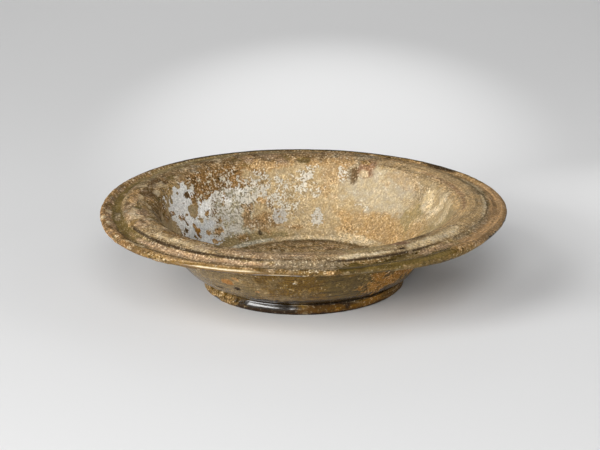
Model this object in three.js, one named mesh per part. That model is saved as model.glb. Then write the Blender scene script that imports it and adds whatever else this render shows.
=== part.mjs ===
// Shallow glass bowl with a broad moulded brim, standing on a coil of glass.
// Lengths are in millimetres and +Z is up. The origin is at the middle of the foot,
// on the surface that the bowl stands on. Both pieces are turned about the Z axis.
import * as THREE from 'three';

// Facets round the axis, shared by both pieces so that their seats match facet by facet.
const facetsRound = 96;

// Foot: a coil laid round the underside of the bowl, worn flat where it stands.
const footRadius = 61.8;
const coilWidth = 6.8;
const coilWidestHeight = 3.4;
const seatOuterInset = 0.9;
const seatInnerInset = 0.5;
const wornBandRadius = 58.5;
const wornBandWidth = 1.6;

// Floor: a thin disc held clear of the table by the coil.
const floorClearance = 5.8;
const floorThickness = 2.8;
const floorRadius = 55;

// Wall: a bulging curve from the floor to the shoulder, of one thickness.
const wallThickness = 2.6;
const wallHeight = 45.5;
const wallBaseReach = 16;
const wallShoulderReach = 9;
const wallLean = 2.2;

// Shoulder: rolls over from the wall onto the brim.
const shoulderWidth = 5.5;

// Brim, measured inwards from the lip: lip, channel and a broad convex ridge.
const rimRadius = 125;
const lipWidth = 6.6;
const channelWidth = 6.7;
const ridgeWidth = 16.7;
const ridgeCrown = 1.7;
const brimHeight = 51.4;
const brimThickness = 4.6;
const brimRootRadius = 6;

// Channel: a step down from the ridge, then a hollow floor out to the lip.
const channelStepWidth = 1.2;
const channelStepDrop = 1.8;
const channelHollow = 0.4;

// Lip: a bead along the edge that hangs a little below the ridge.
const lipThickness = 4.4;
const lipDrop = 3.6;
const lipCreaseAngle = 147;

// Radii and heights that follow from the sizes above.
const coilInnerRadius = footRadius - coilWidth;
const seatInnerRadius = coilInnerRadius + seatInnerInset;
const seatOuterRadius = footRadius - seatOuterInset;
const floorTop = floorClearance + floorThickness;
const lipMiddleRadius = rimRadius - lipWidth / 2;
const lipMiddleHeight = brimHeight - lipDrop;
const ridgeOuterRadius = rimRadius - lipWidth - channelWidth;
const ridgeInnerRadius = ridgeOuterRadius - ridgeWidth;
const wallTopRadius = ridgeInnerRadius - shoulderWidth;

// Points along each round stretch of the two outlines.
const wallSteps = 10;
const shoulderSteps = 4;
const ridgeSteps = 6;
const lipSteps = 6;
const coilSideSteps = 4;

const point = (radius, height) => new THREE.Vector2(radius, height);

// Inner face of the wall, from the edge of the floor up to the shoulder.
function innerWallCurve() {
  return new THREE.CubicBezierCurve(
    point(floorRadius, floorTop),
    point(floorRadius + wallBaseReach, floorTop),
    point(wallTopRadius - wallLean, wallHeight - wallShoulderReach),
    point(wallTopRadius, wallHeight),
  );
}

// A point on the outer face of the wall, one wall thickness from the inner face.
function outerWallPoint(curve, along) {
  const inner = curve.getPoint(along);
  const tangent = curve.getTangent(along);
  return point(
    inner.x + tangent.y * wallThickness,
    inner.y - tangent.x * wallThickness,
  );
}

// How far along the wall its outer face reaches a radius, found by halving.
function outerWallAtRadius(curve, radius) {
  let low = 0;
  let high = 1;
  for (let halving = 0; halving < 40; halving += 1) {
    const middle = (low + high) / 2;
    if (outerWallPoint(curve, middle).x < radius) low = middle;
    else high = middle;
  }
  return low;
}

// The sloping seat under the bowl, from its inner edge to its outer edge.
function seatEdges() {
  const curve = innerWallCurve();
  const outer = outerWallPoint(curve, outerWallAtRadius(curve, seatOuterRadius));
  return [point(seatInnerRadius, floorClearance), point(seatOuterRadius, outer.y)];
}

// Outer face of the wall, from the seat up to the root of the brim.
function outerWall() {
  const curve = innerWallCurve();
  const start = outerWallAtRadius(curve, seatOuterRadius);
  const points = [];
  for (let step = 1; step <= wallSteps; step += 1) {
    points.push(outerWallPoint(curve, start + ((1 - start) * step) / (wallSteps + 1)));
  }
  return points;
}

// Underside of the brim, from the top of the wall to below the edge of the ridge.
function brimUnderside() {
  const wallEnd = outerWallPoint(innerWallCurve(), 1);
  const underHeight = brimHeight - brimThickness;
  const root = new THREE.QuadraticBezierCurve(
    wallEnd,
    point(wallEnd.x, underHeight),
    point(wallEnd.x + brimRootRadius, underHeight),
  );
  return [...root.getPoints(shoulderSteps), point(ridgeOuterRadius, underHeight)];
}

// Lip, from its lowest point round the edge to the crease where the channel starts.
function lip() {
  return new THREE.EllipseCurve(
    lipMiddleRadius,
    lipMiddleHeight,
    lipWidth / 2,
    lipThickness / 2,
    -Math.PI / 2,
    THREE.MathUtils.degToRad(lipCreaseAngle),
  ).getPoints(lipSteps + lipSteps);
}

// Floor of the channel, from the crease inwards to the foot of the step.
function channel() {
  const crease = lip().at(-1);
  const stepFoot = point(ridgeOuterRadius + channelStepWidth, brimHeight - channelStepDrop);
  return [
    point((crease.x + stepFoot.x) / 2, (crease.y + stepFoot.y) / 2 - channelHollow),
    stepFoot,
  ];
}

// Convex ridge, from its outer edge to the shoulder.
function ridge() {
  const middleRadius = (ridgeOuterRadius + ridgeInnerRadius) / 2;
  return new THREE.QuadraticBezierCurve(
    point(ridgeOuterRadius, brimHeight),
    point(middleRadius, brimHeight + 2 * ridgeCrown),
    point(ridgeInnerRadius, brimHeight),
  ).getPoints(ridgeSteps);
}

// Shoulder, from the ridge down onto the wall.
function shoulder() {
  const points = new THREE.QuadraticBezierCurve(
    point(ridgeInnerRadius, brimHeight),
    point(wallTopRadius + wallLean / 2, brimHeight - ridgeCrown),
    point(wallTopRadius, wallHeight),
  ).getPoints(shoulderSteps);
  return points.slice(1);
}

// Inner face of the wall, downwards from the shoulder to the floor.
function innerWall() {
  return innerWallCurve().getPoints(wallSteps).reverse().slice(1);
}

// Outline of the bowl, from the axis under the floor round to the axis above it.
function bowlOutline() {
  return [
    point(0, floorClearance),
    ...seatEdges(),
    ...outerWall(),
    ...brimUnderside(),
    ...lip(),
    ...channel(),
    ...ridge(),
    ...shoulder(),
    ...innerWall(),
    point(0, floorTop),
  ];
}

// Outline of the coil, from the inner edge of its seat round and back to it.
function footOutline() {
  const [seatInner, seatOuter] = seatEdges();
  const bandInner = point(wornBandRadius - wornBandWidth / 2, 0);
  const bandOuter = point(wornBandRadius + wornBandWidth / 2, 0);
  const innerSide = new THREE.QuadraticBezierCurve(
    point(coilInnerRadius, coilWidestHeight),
    point(coilInnerRadius, 0),
    bandInner,
  );
  const outerSide = new THREE.QuadraticBezierCurve(
    bandOuter,
    point(footRadius, 0),
    point(footRadius, coilWidestHeight),
  );
  const outerShoulder = new THREE.QuadraticBezierCurve(
    point(footRadius, coilWidestHeight),
    point(footRadius, (coilWidestHeight + seatOuter.y) / 2),
    seatOuter,
  );
  return [
    seatInner,
    ...innerSide.getPoints(coilSideSteps),
    ...outerSide.getPoints(coilSideSteps),
    ...outerShoulder.getPoints(2).slice(1),
    seatInner,
  ];
}

// Turns an outline about the Z axis and gives it a name and a finish.
function turned(name, outline, finish) {
  const geometry = new THREE.LatheGeometry(outline, facetsRound);
  geometry.rotateX(Math.PI / 2);
  const mesh = new THREE.Mesh(geometry, new THREE.MeshStandardMaterial(finish));
  mesh.name = name;
  return mesh;
}

// Floor, wall and brim are one blown piece of olive glass under a tan crust.
function bowlBody() {
  return turned('bowl_body', bowlOutline(), { color: '#93835f', roughness: 0.55, metalness: 0 });
}

// The coil is the same glass, darker where it is thick and less crusted.
function footRing() {
  return turned('foot_ring', footOutline(), { color: '#6f6242', roughness: 0.4, metalness: 0 });
}

const bowl = new THREE.Group();
bowl.add(bowlBody(), footRing());

export default bowl;
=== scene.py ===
"""A weathered ancient glass bowl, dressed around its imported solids. Lengths are in metres.

Places on the glass are given as a turn about the axis in degrees, 0 on the right and 270 at the
front, and as a reach in millimetres: the way along the surface from the middle of the floor, up
the wall, over the brim and back under it.
"""

import logging
import math
from dataclasses import dataclass, field
from enum import Enum
from typing import ClassVar

import bpy
import numpy as np
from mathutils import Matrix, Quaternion, Vector


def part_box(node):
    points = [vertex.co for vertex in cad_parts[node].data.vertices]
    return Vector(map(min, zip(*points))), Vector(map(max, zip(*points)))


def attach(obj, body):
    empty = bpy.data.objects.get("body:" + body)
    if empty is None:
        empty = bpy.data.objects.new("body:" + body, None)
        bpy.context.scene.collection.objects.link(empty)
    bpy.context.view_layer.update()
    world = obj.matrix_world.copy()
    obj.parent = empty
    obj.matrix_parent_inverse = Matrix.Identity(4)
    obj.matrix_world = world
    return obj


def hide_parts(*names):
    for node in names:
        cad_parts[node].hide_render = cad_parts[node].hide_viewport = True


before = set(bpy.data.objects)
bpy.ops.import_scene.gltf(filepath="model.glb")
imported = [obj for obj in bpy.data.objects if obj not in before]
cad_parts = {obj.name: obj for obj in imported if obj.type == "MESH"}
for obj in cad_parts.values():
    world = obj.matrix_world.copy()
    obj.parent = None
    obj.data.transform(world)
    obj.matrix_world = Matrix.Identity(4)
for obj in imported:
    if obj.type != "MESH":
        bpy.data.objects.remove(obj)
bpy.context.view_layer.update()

logging.basicConfig(level=logging.INFO, format="%(message)s")
LOG = logging.getLogger("glass_bowl")

MM = 0.001
SRGB_KNEE = 0.04045
Point = tuple[float, float]
Place = tuple[float, float, float]
Colour = tuple[float, float, float, float]
Tree = bpy.types.NodeTree
Socket = bpy.types.NodeSocket
Sockets = dict[str, bpy.types.NodeSocket]


def linear(hex_colour: str) -> Colour:
    """Turns an sRGB hex colour into linear light.

    Args:
        hex_colour: six hex digits, with or without a leading hash.

    Returns:
        Linear red, green and blue, and an alpha of one.
    """
    digits = hex_colour.lstrip("#")
    channels = [int(digits[i : i + 2], 16) / 255 for i in (0, 2, 4)]
    # These are the numbers of the sRGB curve itself.
    light = [c / 12.92 if c <= SRGB_KNEE else ((c + 0.055) / 1.055) ** 2.4 for c in channels]
    return (*light, 1.0)


def per(size: float) -> float:
    """Turns the real size of a pattern in millimetres into cells per metre."""
    return 1 / (size * MM)


def hashed(cells: np.ndarray, seed: int) -> np.ndarray:
    """Gives each whole-number cell a fixed number between 0 and 1.

    Args:
        cells: whole numbers, three to a row.
        seed: a whole number that picks the pattern.

    Returns:
        One number for each row.
    """
    # Large odd numbers mix the bits, and only the seed picks the pattern.
    mixed = cells[..., 0] * 374761393 + cells[..., 1] * 668265263 + cells[..., 2] * 2147483647
    mixed = (mixed + seed * 974634777) & 0xFFFFFFFF
    mixed = ((mixed ^ (mixed >> 13)) * 1274126177) & 0xFFFFFFFF
    return ((mixed ^ (mixed >> 16)) & 0xFFFFFF) / float(0xFFFFFF)


def value_noise(points: np.ndarray, seed: int) -> np.ndarray:
    """Gives smooth noise between 0 and 1.

    Args:
        points: places in cells, three to a row.
        seed: a whole number that picks the pattern.

    Returns:
        One number for each row.
    """
    base = np.floor(points).astype(np.int64)
    part = points - base
    part = part * part * (3 - 2 * part)
    total = np.zeros(len(points))
    for corner in np.ndindex(2, 2, 2):
        weight = np.ones(len(points))
        for axis in range(3):
            weight *= part[:, axis] if corner[axis] else 1 - part[:, axis]
        total += weight * hashed(base + np.array(corner), seed)
    return total


def layered_noise(points: np.ndarray, cell: float, octaves: int, seed: int) -> np.ndarray:
    """Adds up noise of several grain sizes.

    Args:
        points: places in metres.
        cell: size of the coarsest grain in millimetres.
        octaves: how many times the grain halves.
        seed: a whole number that picks the pattern.

    Returns:
        One number between 0 and 1 for each place.
    """
    total = np.zeros(len(points))
    weight = 0.0
    for octave in range(octaves):
        share = 0.5**octave
        total += share * value_noise(points * (2**octave * per(cell)), seed + octave)
        weight += share
    return total / weight


def smooth_step(low: float, high: float, value: np.ndarray) -> np.ndarray:
    """Rises smoothly from 0 at low to 1 at high, or falls where high is the lower one."""
    part = np.clip((value - low) / (high - low), 0, 1)
    return part * part * (3 - 2 * part)


def band(rise: Point, fall: Point, value: np.ndarray) -> np.ndarray:
    """Rises smoothly from 0 to 1 over one stretch and falls to 0 over another."""
    return smooth_step(*rise, value) * smooth_step(*fall, value)


@dataclass(frozen=True)
class Dent:
    """One way in which the hand-made bowl is out of true.

    size is in millimetres. It is greatest at the middle turn and gone a half width from there,
    both in degrees.
    """

    size: float
    middle: float
    half_width: float

    def at(self, turn: np.ndarray) -> np.ndarray:
        """Gives its size in millimetres at each turn."""
        return self.size * smooth_step(self.half_width, 0, np.abs((turn - self.middle + 180) % 360 - 180))


def bezier(points: list[Point], spacing: float) -> list[Point]:
    """Samples a Bezier curve.

    Args:
        points: two to four control points, as radius and height.
        spacing: about how far apart the samples lie.

    Returns:
        The points along the curve, ends included.
    """
    degree = len(points) - 1
    steps = max(1, round(sum(math.dist(a, b) for a, b in zip(points, points[1:])) / spacing))
    made = []
    for step in range(steps + 1):
        t = step / steps
        weights = [math.comb(degree, i) * (1 - t) ** (degree - i) * t**i for i in range(degree + 1)]
        made.append(tuple(sum(w * p[axis] for w, p in zip(weights, points)) for axis in (0, 1)))
    return made


def add_node(tree: Tree, kind: str, links: dict | None = None, out: int | str = 0,
             **settings: object) -> Socket | None:
    """Adds one shader node with its settings and links.

    Args:
        tree: the node tree that gets the node.
        kind: Blender's name for the node type.
        links: an output socket, or a plain value, for each named or numbered input.
        out: the name or number of the output to hand back.
        settings: values for the node's own properties.

    Returns:
        That output, or None for a node that has none.
    """
    node = tree.nodes.new(kind)
    for name, value in settings.items():
        setattr(node, name, value)
    for name, value in (links or {}).items():
        if isinstance(value, Socket):
            tree.links.new(value, node.inputs[name])
        else:
            node.inputs[name].default_value = value
    return node.outputs[out] if node.outputs else None


class Layer(Enum):
    """The three things that can lie uppermost on the old glass."""

    GLASS = "glass"
    CRUST = "crust"
    ENAMEL = "enamel"


@dataclass(frozen=True)
class Surface:
    """How one kind of surface looks and how it lies.

    crust and enamel are the shares that these layers cover. grit is how sandy the grain is, streak
    how strongly the turning lines show, lift is the height above bare glass in millimetres, and
    clear is how clean and smooth the glass is. tone is the colour that it gives to its own layer.
    """

    tone: str
    crust: float
    enamel: float = 0.0
    grit: float = 0.5
    lift: float = 0.0
    streak: float = 0.0
    clear: float = 0.0
    layer: Layer = Layer.CRUST


class Skin(Enum):
    """The surfaces that the buried glass shows, from bare to thickly crusted."""

    OLIVE_GLASS = Surface("#574723", 0.12, grit=0.5, streak=0.9, layer=Layer.GLASS)
    BROWN_GLASS = Surface("#644a1a", 0.2, grit=0.7, streak=0.6, layer=Layer.GLASS)
    DARK_GLASS = Surface("#2a1c0a", 0.1, grit=0.4, layer=Layer.GLASS)
    GREY_GLASS = Surface("#7e6a47", 0.2, grit=0.6, streak=0.5, layer=Layer.GLASS)
    BRIGHT_GLASS = Surface("#6b5128", 0.0, grit=0.2, streak=0.4, clear=1.0, layer=Layer.GLASS)
    # Pale colour on clean glass, a painted highlight.
    PAINTED_HIGHLIGHT_GLASS = Surface("#cbb78c", 0.0, grit=0.2, clear=1.0, layer=Layer.GLASS)
    BLACK_GLASS = Surface("#1d1509", 0.0, grit=0.2, clear=1.0, layer=Layer.GLASS)
    OLIVE_SMOOTH = Surface("#8b7952", 0.9, grit=0.5, lift=0.1, streak=0.3)
    GREY_FADE = Surface("#aaa591", 1.0, 0.42, 0.5, 0.15)
    DARK_CHANNEL = Surface("#67552d", 0.85, grit=0.35, streak=0.5)
    CHANNEL_DIRT = Surface("#7a6642", 0.8, grit=0.8, lift=0.1, streak=0.8)
    FLOOR_DIRT = Surface("#927850", 0.85, 0.05, 1.0, 0.3, 0.8)
    SLOPE_DIRT = Surface("#9a7d4e", 0.8, 0.08, 0.9, 0.3)
    DARK_STAIN = Surface("#5c4323", 1.0, grit=0.7, lift=0.1)
    DARK_DIRT = Surface("#2a1a08", 1.0, grit=0.25)
    PURPLE_STAIN = Surface("#856448", 1.0, grit=0.6, lift=0.1)
    SAND = Surface("#ab9570", 1.0, 0.05, 0.45, 0.25)
    WARM_SAND = Surface("#aa8c60", 0.98, grit=0.55, lift=0.25)
    PALE_SAND = Surface("#b0a083", 1.0, 0.12, 0.28, 0.25)
    OLIVE_SAND = Surface("#97845b", 1.0, grit=0.35, lift=0.15)
    RIDGE_SAND = Surface("#b3966b", 0.98, grit=0.5, lift=0.2, streak=0.55)
    CREAM = Surface("#c9b48f", 1.0, 0.1, 0.6, 0.4)
    RIDGE_CRUST = Surface("#977f5b", 0.82, 0.06, 0.8, 0.35, 0.6)
    FAR_CRUST = Surface("#7d6340", 0.85, 0.05, 1.0, 0.35, 0.4)
    GOLD_CRUST = Surface("#85683a", 0.75, 0.04, 1.0, 0.4, 0.3)
    BROWN_CRUST = Surface("#8a693e", 0.74, 0.36, 1.0, 0.45)
    LIP_BROWN = Surface("#644c25", 0.72, 0.05, 1.0, 0.3, 0.6)
    LIP_TAN = Surface("#a07b4e", 0.74, 0.05, 1.0, 0.4, 0.2)
    RED_BROWN = Surface("#6e4a08", 0.9, grit=0.4, lift=0.1, streak=0.5)
    RIM_TAN = Surface("#a3825a", 0.92, grit=0.45, lift=0.2, streak=0.7)
    SPECKS = Surface("#77602f", 0.34, grit=0.9, lift=0.1, streak=0.3)
    RUST = Surface("#966724", 0.78, grit=0.9, lift=0.3)
    RUST_SPOT = Surface("#a5733a", 1.0, grit=0.5, lift=0.2)
    RUST_CRUST = Surface("#8f7048", 0.85, 0.2, 1.0, 0.4)
    RUST_TAN = Surface("#a88658", 0.95, 0.1, 0.8, 0.3)
    PINK_TAN = Surface("#9d8162", 0.92, 0.06, 0.8, 0.35, 0.6)
    GREY_CRUST = Surface("#87765c", 0.92, 0.08, 0.8, 0.3, 0.3)
    WHITE_ENAMEL = Surface("#f2f1ed", 0.75, 0.93, 0.6, 0.2, layer=Layer.ENAMEL)
    BLUE_ENAMEL = Surface("#d6d7d5", 0.8, 0.95, 0.4, 0.12, layer=Layer.ENAMEL)
    SPECKLED_ENAMEL = Surface("#c8bfae", 0.95, 0.58, 0.8, 0.25, layer=Layer.ENAMEL)
    LILAC_ENAMEL = Surface("#b0a89c", 1.0, 0.7, 0.6, 0.2, layer=Layer.ENAMEL)


Row = tuple[str | float | Skin, ...]


@dataclass(frozen=True)
class Patch:
    """One patch of the surface, as big as it really is.

    It runs from one turn to the other in degrees and from one reach to the other in millimetres.
    ragged says how torn its edge is.
    """

    SQUARENESS: ClassVar[float] = 2.5
    EDGE: ClassVar[Point] = (1.18, 0.82)

    place: str
    first_turn: float
    last_turn: float
    low: float
    high: float
    skin: Skin
    strength: float = 1.0
    ragged: float = 0.8

    def cover(self, turn: np.ndarray, reach: np.ndarray, tears: np.ndarray) -> np.ndarray:
        """Works out how much of the patch lies at each point.

        Args:
            turn: each point's turn in degrees.
            reach: each point's reach in millimetres.
            tears: noise between 0 and 1 that tears the edge.

        Returns:
            A share between 0 and the patch's strength for each point.
        """
        along = 2 * np.abs(reach - (self.low + self.high) / 2) / (self.high - self.low)
        width = self.last_turn - self.first_turn
        around = np.zeros(len(turn))
        if width < 360:
            around = 2 * np.abs((turn - (self.first_turn + self.last_turn) / 2 + 180) % 360 - 180) / width
        far = (along**self.SQUARENESS + around**self.SQUARENESS) ** (1 / self.SQUARENESS)
        return smooth_step(*self.EDGE, far + self.ragged * (tears - 0.5)) * self.strength


class Paint:
    """The layers laid on one piece, kept for each point of its mesh.

    Each row of TEARS is a noise that tears the edges: its grain in millimetres, seed and strength.
    """

    SHARES = ("crust", "enamel", "grit", "streak", "clear")
    TEARS = ((9, 41, 1.5), (2.8, 47, 1.1))
    START = {Layer.GLASS: "#4a3716", Layer.CRUST: "#a08a64", Layer.ENAMEL: "#d2c7ae"}

    def __init__(self, places: np.ndarray, turn: np.ndarray, reach: np.ndarray) -> None:
        """Starts with plain brown glass.

        Args:
            places: each point's place in metres.
            turn: each point's turn in degrees.
            reach: each point's reach in millimetres.
        """
        self.turn, self.reach = turn, reach
        tears = np.full(len(turn), 0.5)
        for cell, seed, strength in self.TEARS:
            tears += strength * (layered_noise(places, cell, 3, seed) - 0.5)
        self.tears = np.clip(tears, 0, 1)
        self.tone = {layer: np.tile(linear(hue), (len(turn), 1)) for layer, hue in self.START.items()}
        self.share = {name: np.zeros(len(turn)) for name in (*self.SHARES, "lift")}

    def lay(self, patch: Patch) -> None:
        """Lays one patch over what is there.

        Args:
            patch: the patch to lay.
        """
        cover = patch.cover(self.turn, self.reach, self.tears)
        surface = patch.skin.value
        tone = self.tone[surface.layer]
        tone += (np.array(linear(surface.tone)) - tone) * cover[:, None]
        for name, share in self.share.items():
            share += (getattr(surface, name) - share) * cover

    def keep(self, mesh: bpy.types.Mesh, spare: int) -> None:
        """Stores the layers as point attributes.

        Args:
            mesh: the piece's mesh.
            spare: how many points at its end take the last values.
        """
        for name in self.SHARES:
            values = np.append(self.share[name], np.full(spare, self.share[name][-1]))
            mesh.attributes.new(name, "FLOAT", "POINT").data.foreach_set("value", values)
        for layer, tone in self.tone.items():
            values = np.concatenate([tone, np.tile(tone[-1], (spare, 1))])
            kept = mesh.attributes.new(f"{layer.value}_tone", "FLOAT_COLOR", "POINT")
            kept.data.foreach_set("color", values.ravel())


@dataclass(frozen=True)
class WeatheredGlass:
    """Blown olive-brown glass after centuries in the ground.

    Bare glass is dark and shines. The crust on it is matt, sandy and broken at its edges, and
    where the glass itself has turned milky it looks like thin pale enamel. IOR 1.52 is that of
    soda-lime glass. A film of earth dulls it, so gloss is below the usual 0.5, and where handling
    has wiped the film off, a clear coat gives the bright highlights of clean glass.
    Grains under half a millimetre are drawn 1.1 mm wide, because finer ones blur away. The sizes
    are in millimetres, and plain, hollow, top, warm and cool are what a colour is multiplied by.
    """

    name: str
    glass_roughness: float = 0.17
    enamel_roughness: float = 0.42
    crust_roughness: float = 0.68
    clear_roughness: float = 0.09
    ior: float = 1.52
    gloss: float = 0.15
    mottle_size: float = 8.0
    tint_size: float = 3.8
    chip_size: float = 2.7
    grain_size: float = 1.1
    pit_size: float = 1.7
    ring_spacing: float = 1.5
    ring_turns: float = 3.5
    relief: float = 0.4
    noise_roughness: float = 0.6
    least_grit: float = 0.3
    fray: float = 0.45
    plain: Colour = (1.0, 1.0, 1.0, 1.0)
    hollow: Colour = (0.12, 0.09, 0.04, 1.0)
    top: Colour = (1.95, 1.98, 2.06, 1.0)
    warm: Colour = (1.05, 1.0, 0.88, 1.0)
    cool: Colour = (0.96, 1.0, 1.1, 1.0)
    # Pale sandy specks, which also serve as painted glints on the crust.
    pale_grains_and_glints: str = "#eee0c0"
    dark_pits: str = "#3a2811"

    def build(self) -> bpy.types.Material:
        """Makes the material.

        Returns:
            The node material, named for the finish.
        """
        material = bpy.data.materials.new(self.name)
        material.use_nodes = True
        tree = material.node_tree
        tree.nodes.clear()
        place = add_node(tree, "ShaderNodeTexCoord", out="Object")
        share = {name: add_node(tree, "ShaderNodeAttribute", out="Fac", attribute_name=name)
                 for name in Paint.SHARES}
        tone = {layer: add_node(tree, "ShaderNodeAttribute", out="Color",
                                attribute_name=f"{layer.value}_tone") for layer in Layer}
        pattern = {
            "mottle": self.noise(tree, place, self.mottle_size, 4, 0.0),
            "tint": self.noise(tree, place, self.tint_size, 3, 3.7),
            "chips": self.noise(tree, place, self.chip_size, 4, 7.1),
            "grain": self.noise(tree, place, self.grain_size, 2, 11.3, 0.13),
            "pits": self.noise(tree, place, self.pit_size, 3, 17.9),
            "rings": self.rings(tree, place),
        }
        drifts = add_node(tree, "ShaderNodeMapRange", {0: pattern["mottle"], 3: self.least_grit, 4: 1.0})
        share["grit"] = add_node(tree, "ShaderNodeMath", {0: share["grit"], 1: drifts}, operation="MULTIPLY")
        crust = self.torn(tree, share["crust"], pattern["chips"], pattern["pits"])
        enamel = self.torn(tree, share["enamel"], pattern["tint"], pattern["grain"])
        colour = self.bare(tree, tone[Layer.GLASS], pattern, share)
        for mask, above in ((crust, self.sandy(tree, tone[Layer.CRUST], pattern, share)),
                            (enamel, self.milky(tree, tone[Layer.ENAMEL], pattern))):
            colour = add_node(tree, "ShaderNodeMix", {0: mask, 6: colour, 7: above}, 2, data_type="RGBA")
        rough = add_node(tree, "ShaderNodeMapRange",
                         {0: crust, 3: self.glass_roughness, 4: self.crust_roughness})
        rough = add_node(tree, "ShaderNodeMix", {0: enamel, 2: rough, 3: self.enamel_roughness})
        shine = add_node(tree, "ShaderNodeMath", {0: crust, 1: -1.0, 2: 1.0}, operation="MULTIPLY_ADD")
        shine = add_node(tree, "ShaderNodeMath", {0: shine, 1: share["clear"]}, operation="MULTIPLY")
        shader = add_node(
            tree, "ShaderNodeBsdfPrincipled",
            {"Base Color": colour, "Roughness": rough, "IOR": self.ior, "Specular IOR Level": self.gloss,
             "Coat Weight": shine, "Coat Roughness": self.clear_roughness, "Coat IOR": self.ior,
             "Normal": self.bumps(tree, crust, enamel, pattern)},
        )
        add_node(tree, "ShaderNodeOutputMaterial", {"Surface": shader})
        return material

    def noise(self, tree: Tree, place: Socket, size: float, detail: float, shift: float,
              spread: float = 0.17) -> Socket:
        """Makes a pattern of a real size, stretched to run from 0 to 1.

        Args:
            tree: the material's node tree.
            place: the coordinates it is drawn in.
            size: size of its coarsest spots in millimetres.
            detail: how many times it repeats at half the size.
            shift: sets the pattern apart from the others.
            spread: how far the noise runs from its middle before it reaches 0 or 1.

        Returns:
            A socket between 0 and 1.
        """
        raw = add_node(tree, "ShaderNodeTexNoise",
                       {"Vector": place, "W": shift, "Scale": per(size), "Detail": detail,
                        "Roughness": self.noise_roughness}, "Fac", noise_dimensions="4D")
        return add_node(tree, "ShaderNodeMapRange", {0: raw, 1: 0.5 - spread, 2: 0.5 + spread})

    def rings(self, tree: Tree, place: Socket) -> Socket:
        """Makes the fine lines that run round the bowl, left by turning it on the blowpipe.

        Args:
            tree: the material's node tree.
            place: the coordinates, whose Z axis is the bowl's own.

        Returns:
            A socket between 0 and 1.
        """
        flat = add_node(tree, "ShaderNodeVectorMath", {0: place, 1: (1.0, 1.0, 0.0)}, operation="MULTIPLY")
        radius = add_node(tree, "ShaderNodeVectorMath", {0: flat}, "Value", operation="LENGTH")
        height = add_node(tree, "ShaderNodeSeparateXYZ", {0: place}, "Z")
        along = add_node(tree, "ShaderNodeMath", {0: radius, 1: height}, operation="ADD")
        along = add_node(tree, "ShaderNodeMath", {0: along, 1: per(self.ring_spacing)}, operation="MULTIPLY")
        way = add_node(tree, "ShaderNodeVectorMath", {0: flat}, operation="NORMALIZE")
        way = add_node(tree, "ShaderNodeVectorMath", {0: way, "Scale": self.ring_turns}, operation="SCALE")
        raw = add_node(tree, "ShaderNodeTexNoise", {"Vector": way, "W": along, "Scale": 1.0, "Detail": 2},
                       "Fac", noise_dimensions="4D")
        return add_node(tree, "ShaderNodeMapRange", {0: raw, 1: 0.35, 2: 0.65})

    def torn(self, tree: Tree, share: Socket, coarse: Socket, fine: Socket) -> Socket:
        """Turns a share of cover into patches with a crisp ragged edge.

        Args:
            tree: the material's node tree.
            share: how much of the layer lies there.
            coarse: the noise that shapes the holes.
            fine: the noise that frays their edges.

        Returns:
            A socket that is 0 off the layer and 1 on it.
        """
        frayed = add_node(tree, "ShaderNodeMix", {0: self.fray, 2: coarse, 3: fine})
        total = add_node(tree, "ShaderNodeMath", {0: share, 1: frayed}, operation="ADD")
        return add_node(tree, "ShaderNodeMapRange", {0: total, 1: 0.95, 2: 1.05})

    def varied(self, tree: Tree, tone: Socket, pattern: Socket, low: float, high: float,
               share: Socket | float = 1.0) -> Socket:
        """Darkens and lightens a colour by a pattern.

        Args:
            tree: the material's node tree.
            tone: the colour.
            pattern: a socket between 0 and 1.
            low: what the colour is multiplied by where the pattern is 0.
            high: what it is multiplied by where the pattern is 1.
            share: how much of this shows.

        Returns:
            The colour's new socket.
        """
        factor = add_node(tree, "ShaderNodeMapRange", {0: pattern, 3: low, 4: high})
        factor = add_node(tree, "ShaderNodeMix", {0: share, 2: 1.0, 3: factor})
        return add_node(tree, "ShaderNodeVectorMath", {0: tone, "Scale": factor}, operation="SCALE")

    def grained(self, tree: Tree, tone: Socket, grain: Socket, grit: Socket) -> Socket:
        """Adds the sandy grain: brown in its hollows and paler and greyer on its tops.

        Args:
            tree: the material's node tree.
            tone: the colour.
            grain: the pattern of the grains.
            grit: how much of it shows.

        Returns:
            The colour's new socket.
        """
        ends = add_node(tree, "ShaderNodeMix", {0: grain, 6: self.hollow, 7: self.top}, 2, data_type="RGBA")
        ends = add_node(tree, "ShaderNodeMix", {0: grit, 6: self.plain, 7: ends}, 2, data_type="RGBA")
        return add_node(tree, "ShaderNodeVectorMath", {0: tone, 1: ends}, operation="MULTIPLY")

    def bare(self, tree: Tree, tone: Socket, pattern: Sockets, share: Sockets) -> Socket:
        """Colours the bare glass: cloudy and lined, with fine specks of dirt.

        Args:
            tree: the material's node tree.
            tone: the painted colour of the glass.
            pattern: the patterns by name.
            share: how much there is of each layer and effect, by name.

        Returns:
            The colour's socket.
        """
        colour = self.varied(tree, tone, pattern["mottle"], 0.85, 1.15)
        colour = self.varied(tree, colour, pattern["chips"], 0.84, 1.16)
        colour = self.varied(tree, colour, pattern["rings"], 0.4, 1.6, share["streak"])
        return self.grained(tree, colour, pattern["grain"], share["grit"])

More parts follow.
